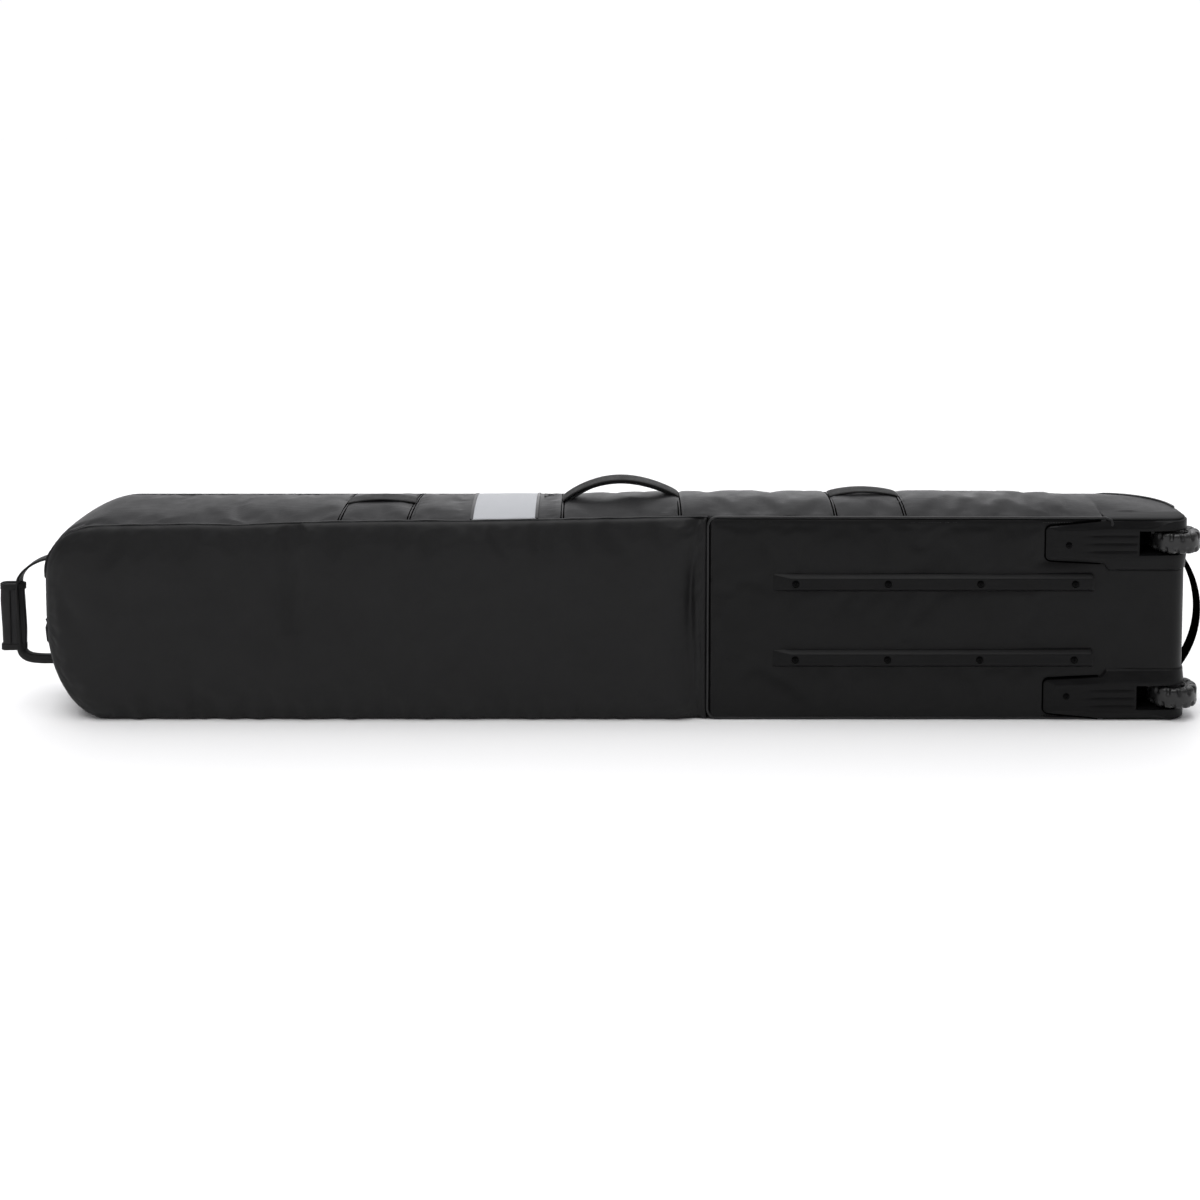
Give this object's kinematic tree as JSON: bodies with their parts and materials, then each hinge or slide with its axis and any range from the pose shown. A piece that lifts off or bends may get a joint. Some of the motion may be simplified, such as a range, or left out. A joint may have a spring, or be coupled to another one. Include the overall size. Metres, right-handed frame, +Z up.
{
  "type": "snowboard bag",
  "caption": "Long padded wheeled bag for a snowboard, with a rounded nose, a zipped lid, skid rails, corner wheel housings, webbing handles and haul loops.",
  "frame": {"origin": "on the resting long side, at mid length and mid depth of the bag's body", "axes": "+X from the nose to the wheeled tail, +Y from the base with its wheels and rails to the lid, +Z up from the resting side to the side with the carry handle"},
  "size_m": [1.7831, 0.173, 0.3373],
  "materials": {
    "coated_cloth": "coated semi-gloss plain weave",
    "tarpaulin": "smooth coated tarpaulin",
    "webbing": "woven webbing",
    "grey_window": "ribbed grey weave",
    "stiffener": "matte",
    "zip_coil": "matte",
    "zip_metal": "black plated",
    "moulded_plastic": "fine moulded grain",
    "buckle_plastic": "satin",
    "tyre_rubber": "glossy moulded rubber",
    "hub_plastic": "satin",
    "steel": "turned",
    "black_screw": "black plated"
  },
  "bodies": {
    "bag": {"base_panel_nose": "coated_cloth", "gusset_upper_nose": "coated_cloth", "gusset_upper_grip": "coated_cloth", "gusset_upper_middle": "coated_cloth", "gusset_upper_tail": "coated_cloth", "gusset_lower": "coated_cloth", "gusset_nose": "coated_cloth", "tail_wall": "coated_cloth", "zipper_border": "coated_cloth", "base_panel_tail": "tarpaulin", "base_board": "stiffener", "id_window": "grey_window", "nose_haul_patch": "webbing", "tail_haul_patch": "webbing", "strap_lower_nose": "webbing", "strap_lower_tail": "webbing", "zipper_coil": "zip_coil", "wheel_housing_upper": "moulded_plastic", "wheel_housing_lower": "moulded_plastic", "skid_rail_upper": "moulded_plastic", "skid_rail_lower": "moulded_plastic", "buckle_socket_nose": "buckle_plastic", "buckle_socket_tail": "buckle_plastic", "axle_upper": "steel", "axle_lower": "steel", "housing_screw_upper": "black_screw", "housing_screw_lower": "black_screw", "rail_screw_upper_1": "black_screw", "rail_screw_upper_2": "black_screw", "rail_screw_upper_3": "black_screw", "rail_screw_upper_4": "black_screw", "rail_screw_lower_1": "black_screw", "rail_screw_lower_2": "black_screw", "rail_screw_lower_3": "black_screw", "rail_screw_lower_4": "black_screw"},
    "wheel_upper": {"wheel_tyre_upper": "tyre_rubber", "wheel_hub_upper": "hub_plastic", "wheel_bearing_upper": "steel"},
    "wheel_lower": {"wheel_tyre_lower": "tyre_rubber", "wheel_hub_lower": "hub_plastic", "wheel_bearing_lower": "steel"},
    "lid": {"lid_panel": "coated_cloth", "lid_pocket": "coated_cloth", "pocket_zipper_coil": "zip_coil"},
    "zip_slider_nose": {"zipper_slider_nose": "zip_metal"},
    "zip_pull_nose": {"zipper_pull_nose": "zip_metal"},
    "zip_slider_tail": {"zipper_slider_tail": "zip_metal"},
    "zip_pull_tail": {"zipper_pull_tail": "zip_metal"},
    "pocket_slider": {"zipper_slider_pocket": "zip_metal"},
    "pocket_pull": {"zipper_pull_pocket": "zip_metal"},
    "nose_handle": {"nose_lift_handle": "webbing"},
    "carry_handle": {"carry_handle": "webbing"},
    "tail_handle": {"tail_lift_handle": "webbing"},
    "nose_loop": {"nose_haul_loop": "webbing", "nose_haul_grip": "webbing"},
    "tail_loop": {"tail_haul_loop": "webbing"},
    "tongue_nose": {"buckle_tongue_nose": "buckle_plastic", "strap_upper_nose": "webbing"},
    "tongue_tail": {"buckle_tongue_tail": "buckle_plastic", "strap_upper_tail": "webbing"}
  },
  "joints": [
    {"name": "wheel_upper_spin", "type": "hinge", "parent": "bag", "child": "wheel_upper", "pos_m": [0.811, -0.053, 0.261], "axis": [0, 0, 1], "continuous": true},
    {"name": "wheel_lower_spin", "type": "hinge", "parent": "bag", "child": "wheel_lower", "pos_m": [0.811, -0.053, 0.034], "axis": [0, 0, 1], "continuous": true},
    {"name": "lid_open", "type": "hinge", "parent": "bag", "child": "lid", "pos_m": [0, 0.075, 0.2907], "axis": [1, 0, 0], "range_deg": [0, 150]},
    {"name": "zip_nose_slide", "type": "slide", "parent": "bag", "child": "zip_slider_nose", "axis": [-1, 0, 0], "range_m": [0, 0.68]},
    {"name": "zip_nose_pull_flip", "type": "hinge", "parent": "zip_slider_nose", "child": "zip_pull_nose", "pos_m": [-0.011, 0.0805, 0.0318], "axis": [0, 0, -1], "range_deg": [0, 120]},
    {"name": "zip_tail_slide", "type": "slide", "parent": "bag", "child": "zip_slider_tail", "axis": [1, 0, 0], "range_m": [0, 0.68]},
    {"name": "zip_tail_pull_flip", "type": "hinge", "parent": "zip_slider_tail", "child": "zip_pull_tail", "pos_m": [0.011, 0.0805, 0.0318], "axis": [0, 0, 1], "range_deg": [0, 120]},
    {"name": "pocket_zip_slide", "type": "slide", "parent": "lid", "child": "pocket_slider", "axis": [-1, 0, 0], "range_m": [0, 0.66]},
    {"name": "pocket_pull_flip", "type": "hinge", "parent": "pocket_slider", "child": "pocket_pull", "pos_m": [0.26, 0.0833, 0.2326], "axis": [0, 0, -1], "range_deg": [0, 120]},
    {"name": "nose_handle_lift", "type": "slide", "parent": "bag", "child": "nose_handle", "axis": [0, 0, 1], "range_m": [0, 0.02]},
    {"name": "tail_handle_lift", "type": "slide", "parent": "bag", "child": "tail_handle", "axis": [0, 0, 1], "range_m": [0, 0.015]},
    {"name": "carry_handle_lean", "type": "hinge", "parent": "bag", "child": "carry_handle", "pos_m": [0, 0, 0.295], "axis": [1, 0, 0], "range_deg": [-35, 35]},
    {"name": "nose_loop_swing", "type": "hinge", "parent": "bag", "child": "nose_loop", "pos_m": [-0.833, 0, 0.1475], "axis": [0, 0, 1], "range_deg": [-60, 60]},
    {"name": "tail_loop_swing", "type": "hinge", "parent": "bag", "child": "tail_loop", "pos_m": [0.8306, 0, 0.1475], "axis": [0, 0, 1], "range_deg": [-45, 45]},
    {"name": "buckle_nose_release", "type": "slide", "parent": "bag", "child": "tongue_nose", "axis": [0, 0, 1], "range_m": [0, 0.025], "deforming": ["strap_upper_nose"]},
    {"name": "buckle_tail_release", "type": "slide", "parent": "bag", "child": "tongue_tail", "axis": [0, 0, 1], "range_m": [0, 0.025], "deforming": ["strap_upper_tail"]}
  ]
}
